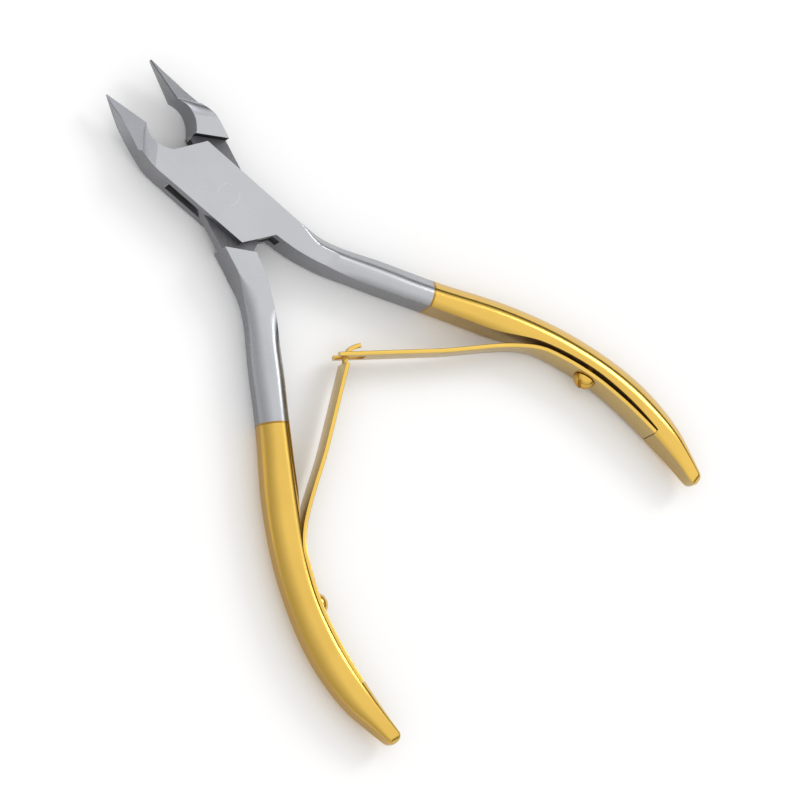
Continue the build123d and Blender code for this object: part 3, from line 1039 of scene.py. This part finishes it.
def left_spring():
    """The strip whose end narrows to a tip that passes between the prongs and curls over."""
    route = blade_route(-SHOULDER)
    shoulder = len(route)
    tip = hermite(route[-1] + CROSS_WAY * 0.05, TIP_TOP, CROSS_WAY * 2.2, TIP_OVER * 1.5, 10)
    tip += hermite(TIP_TOP, TIP_END, TIP_OVER * 1.4, TIP_DOWN * 1.4, 10)[1:]
    route = route + tip

    def width(i):
        return leaf_width(i) if i < shoulder else TIP_WIDTH

    spring = strip(route, width, "left_leaf_spring")
    spring.data.transform(Matrix.Diagonal((-1, 1, 1, 1)))
    spring.data.flip_normals()
    return spring


right_leaf = right_spring()
left_leaf = left_spring()

# %% [markdown]
# ## The screws
# Each spring is held by one slotted round-head screw. Its head is a shallow dome turned on a
# lathe, so the outline is spun round, and the driver slot is milled across it. Two screws are
# too few to scatter with nodes, so each is made once and stood on its own seat.

# %% Screws
HEAD_RADIUS, HEAD_HEIGHT, SCREW_Y = 1.65, 1.4, -56.0
DRIVER_SLOT, DRIVER_DEPTH, DRIVER_TURN = 0.55, 0.6, math.radians(35)
SHANK_RADIUS, SHANK_DEPTH = 0.7, 2.45


def lathe(profile, steps=72):
    """A closed turned shape round Z from (radius, height) points, in millimetres."""
    bm = bmesh.new()
    rows = []
    for radius, height in profile:
        if radius < 1e-6:
            rows.append([bm.verts.new((0, 0, height * MM))])
            continue
        turns = np.linspace(0, 2 * math.pi, steps, endpoint=False)
        rows.append([bm.verts.new(Vector((radius * math.cos(a), radius * math.sin(a), height)) * MM)
                     for a in turns])
    for a, b in zip(rows[:-1], rows[1:]):
        for i in range(steps):
            j = (i + 1) % steps
            corners = [a[i % len(a)], a[j % len(a)], b[j % len(b)], b[i % len(b)]]
            bm.faces.new(list(dict.fromkeys(corners)))
    bmesh.ops.recalc_face_normals(bm, faces=bm.faces)
    return bm


def make_screw(name):
    """A screw standing on its seat, with the driver slot across its head."""
    sphere = (HEAD_RADIUS**2 + HEAD_HEIGHT**2) / (2 * HEAD_HEIGHT)
    profile = [(0, -SHANK_DEPTH), (SHANK_RADIUS, -SHANK_DEPTH), (SHANK_RADIUS, 0.0),
               (HEAD_RADIUS - 0.1, 0.0), (HEAD_RADIUS, 0.08)]
    start = math.asin((HEAD_RADIUS - 0.01) / sphere)
    for a in np.linspace(start, 0, 16):
        profile.append((sphere * math.sin(a), HEAD_HEIGHT - sphere + sphere * math.cos(a)))
    profile[-1] = (0, HEAD_HEIGHT)
    screw = to_object(lathe(profile), name, screw_gilt)
    along = Vector((math.cos(DRIVER_TURN), math.sin(DRIVER_TURN))) * 3
    side = Vector((-math.sin(DRIVER_TURN), math.cos(DRIVER_TURN))) * DRIVER_SLOT / 2
    slot = [tuple(p) for p in (along + side, -along + side, -along - side, along - side)]
    cut(screw, prism(slot, HEAD_HEIGHT - DRIVER_DEPTH, 4, screw_gilt))
    return screw


def seat_screw(screw, mirrored):
    """Stand a screw on its spring root, facing out of the handle."""
    y = SCREW_Y
    d = 0.05
    along = Vector((inner_face(y + d) - inner_face(y - d), 2 * d, 0)).normalized()
    outward = Vector((-along.y, along.x, 0))
    upward = Vector((0, 0, 1))
    place_at = Vector((inner_face(y) + ROOT_SUNK - 0.07, y, MID)) * MM
    third = outward.cross(upward)
    turn = Matrix((upward, third, outward)).transposed().to_4x4()
    screw.data.transform(Matrix.Translation(place_at) @ turn)
    if turn.determinant() < 0:
        screw.data.flip_normals()
    place(screw, mirrored)


right_screw, left_screw = make_screw("right_screw"), make_screw("left_screw")
seat_screw(right_screw, mirrored=False)
seat_screw(left_screw, mirrored=True)
for piece in (right_leaf, left_leaf, right_screw, left_screw):
    finish_edges(piece, angle=40)

# %% [markdown]
# ## Hang the pieces on the frame
# The levers and screws move with their bodies. Each spring is one strip from its clamped root
# to its tip; it stays as it lies at rest, and the CAD's spring pieces are hidden. The rivet is
# a plain cylinder, so the CAD's own is shown, with this script's finish on it.

# %% Attach
pin = frame["nodes"]["pivot_pin"]
pin.data.materials.clear()
pin.data.materials.append(pin_steel)

for piece, body, nodes, slot in (
        (box_lever, "box_half", ("box_lever",), "steel"),
        (tongue_lever, "tongue_half", ("tongue_lever",), "steel"),
        (right_screw, "box_half", ("right_spring_screw",), "gold"),
        (left_screw, "tongue_half", ("left_spring_screw",), "gold")):
    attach(piece, body)
    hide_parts(*nodes)


def hang_spring(leaf, side):
    """Bake a spring's placement and hide the CAD's own pieces of that spring."""
    way = at_rest(inner_face(FLEX_Y + 1), FLEX_Y + 1) - at_rest(inner_face(FLEX_Y), FLEX_Y)
    way = Vector((way.x * side, way.y, 0)).normalized()
    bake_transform(leaf)
    name = "right" if side > 0 else "left"
    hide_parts(name + "_spring_root", name + "_spring_blade")


hang_spring(right_leaf, 1)
hang_spring(left_leaf, -1)

# %% [markdown]
# ## Studio
# The nipper lies on white paper under soft light. A bright dome and one dark side give satin
# steel its shape: flat faces mirror the bright dome, and rounded flanks roll off into the dark.

# %% Floor
def make_floor():
    bm = bmesh.new()
    bmesh.ops.create_grid(bm, x_segments=2, y_segments=2, size=1.5)
    floor = to_object(bm, "paper")
    material = bpy.data.materials.new("White paper")
    material.use_nodes = True
    shader = material.node_tree.nodes["Principled BSDF"]
    shader.inputs["Base Color"].default_value = (0.96, 0.96, 0.96, 1)
    shader.inputs["Roughness"].default_value = 0.9
    shader.inputs["Specular IOR Level"].default_value = 0.1
    floor.data.materials.append(material)


make_floor()

# %% [markdown]
# ## Camera
# The camera looks down at 66 degrees, from the side of the left jaw, and is rolled so that the
# nipper lies across the frame. A long lens far away keeps the two levers the same size.

# %% Camera
AZIMUTH_WAY = Vector((0.988, -0.156, 0.0))
ELEVATION = math.radians(66)
ROLL = math.radians(30)
LENS = 300
PICTURE = 111.1             # the width of the view at the pivot, in millimetres
AIM_RIGHT, AIM_DOWN = 23.9, 28.5        # the middle of the view, from the pivot
towards = AZIMUTH_WAY * math.cos(ELEVATION) - Vector((0, 0, 1)) * math.sin(ELEVATION)
up_slope = AZIMUTH_WAY * math.sin(ELEVATION) + Vector((0, 0, 1)) * math.cos(ELEVATION)
level_way = Vector((-AZIMUTH_WAY.y, AZIMUTH_WAY.x, 0.0))
RIGHT = up_slope * math.cos(ROLL) - level_way * math.sin(ROLL)
UP = up_slope * math.sin(ROLL) + level_way * math.cos(ROLL)


def make_camera():
    data = bpy.data.cameras.new("camera")
    data.lens = LENS
    data.clip_start, data.clip_end = 0.01, 20
    camera = bpy.data.objects.new("camera", data)
    bpy.context.scene.collection.objects.link(camera)
    aim = Vector((0, 0, PLATE_TOP)) + RIGHT * AIM_RIGHT - UP * AIM_DOWN
    distance = PICTURE / (data.sensor_width / LENS)
    camera.location = (aim - towards * distance) * MM
    back = -towards.normalized()
    camera.rotation_mode = "QUATERNION"
    axes = Matrix((RIGHT, back.cross(RIGHT), back)).transposed()
    camera.rotation_quaternion = axes.to_quaternion()
    bpy.context.scene.camera = camera


make_camera()


# %% [markdown]
# ## Light
# One small soft lamp stands low, so that no flat face mirrors it. The rest of the light is the
# world's dome, which is what polished metal really shows: more lamps would only add hot spots.

# %% Lights
KEY_PLACE, KEY_AIM, KEY_SIZE, KEY_POWER = (0.95, -0.1, 0.68), (0, -0.03, 0), 0.4, 3.0
DOME = ((0.0, 0.02), (0.10, 0.03), (0.30, 0.34), (0.48, 0.85), (0.70, 1.0), (1.0, 0.95))
NEAR_SIDE, DOME_STRENGTH = (0.50, 0.95), 1.12


def make_key():
    data = bpy.data.lights.new("key", "AREA")
    data.shape = "RECTANGLE"
    data.size = data.size_y = KEY_SIZE
    data.energy = KEY_POWER
    light = bpy.data.objects.new("key", data)
    bpy.context.scene.collection.objects.link(light)
    light.location = KEY_PLACE
    light.rotation_mode = "QUATERNION"
    light.rotation_quaternion = (Vector(KEY_AIM) - Vector(KEY_PLACE)).to_track_quat("-Z", "Y")


def make_world():
    """A soft dome: bright overhead, dark at the horizon on one side and grey on the other."""
    world = bpy.data.worlds.new("studio")
    bpy.context.scene.world = world
    world.use_nodes = True
    tree = world.node_tree
    coord = tree.nodes.new("ShaderNodeTexCoord").outputs["Generated"]
    axes = tree.nodes.new("ShaderNodeSeparateXYZ")
    tree.links.new(coord, axes.inputs[0])
    dome = tree.nodes.new("ShaderNodeValToRGB")
    tree.links.new(axes.outputs["Z"], dome.inputs[0])
    stops = dome.color_ramp.elements
    for position, _ in DOME[1:-1]:
        stops.new(position)
    for stop, (_, value) in zip(stops, DOME):
        stop.color = (value, value, value, 1)
    near_side = spread(tree, axes.outputs["Z"], 0.0, 0.8, *NEAR_SIDE)
    far_share = spread(tree, axes.outputs["X"], -0.25, 0.25, 0.0, 1.0)
    background = tree.nodes["Background"]
    tree.links.new(mix_colour(tree, far_share, near_side, dome.outputs[0]), background.inputs[0])
    background.inputs[1].default_value = DOME_STRENGTH


make_world()
make_key()
bpy.context.scene.view_settings.view_transform = "Standard"     # white paper stays white
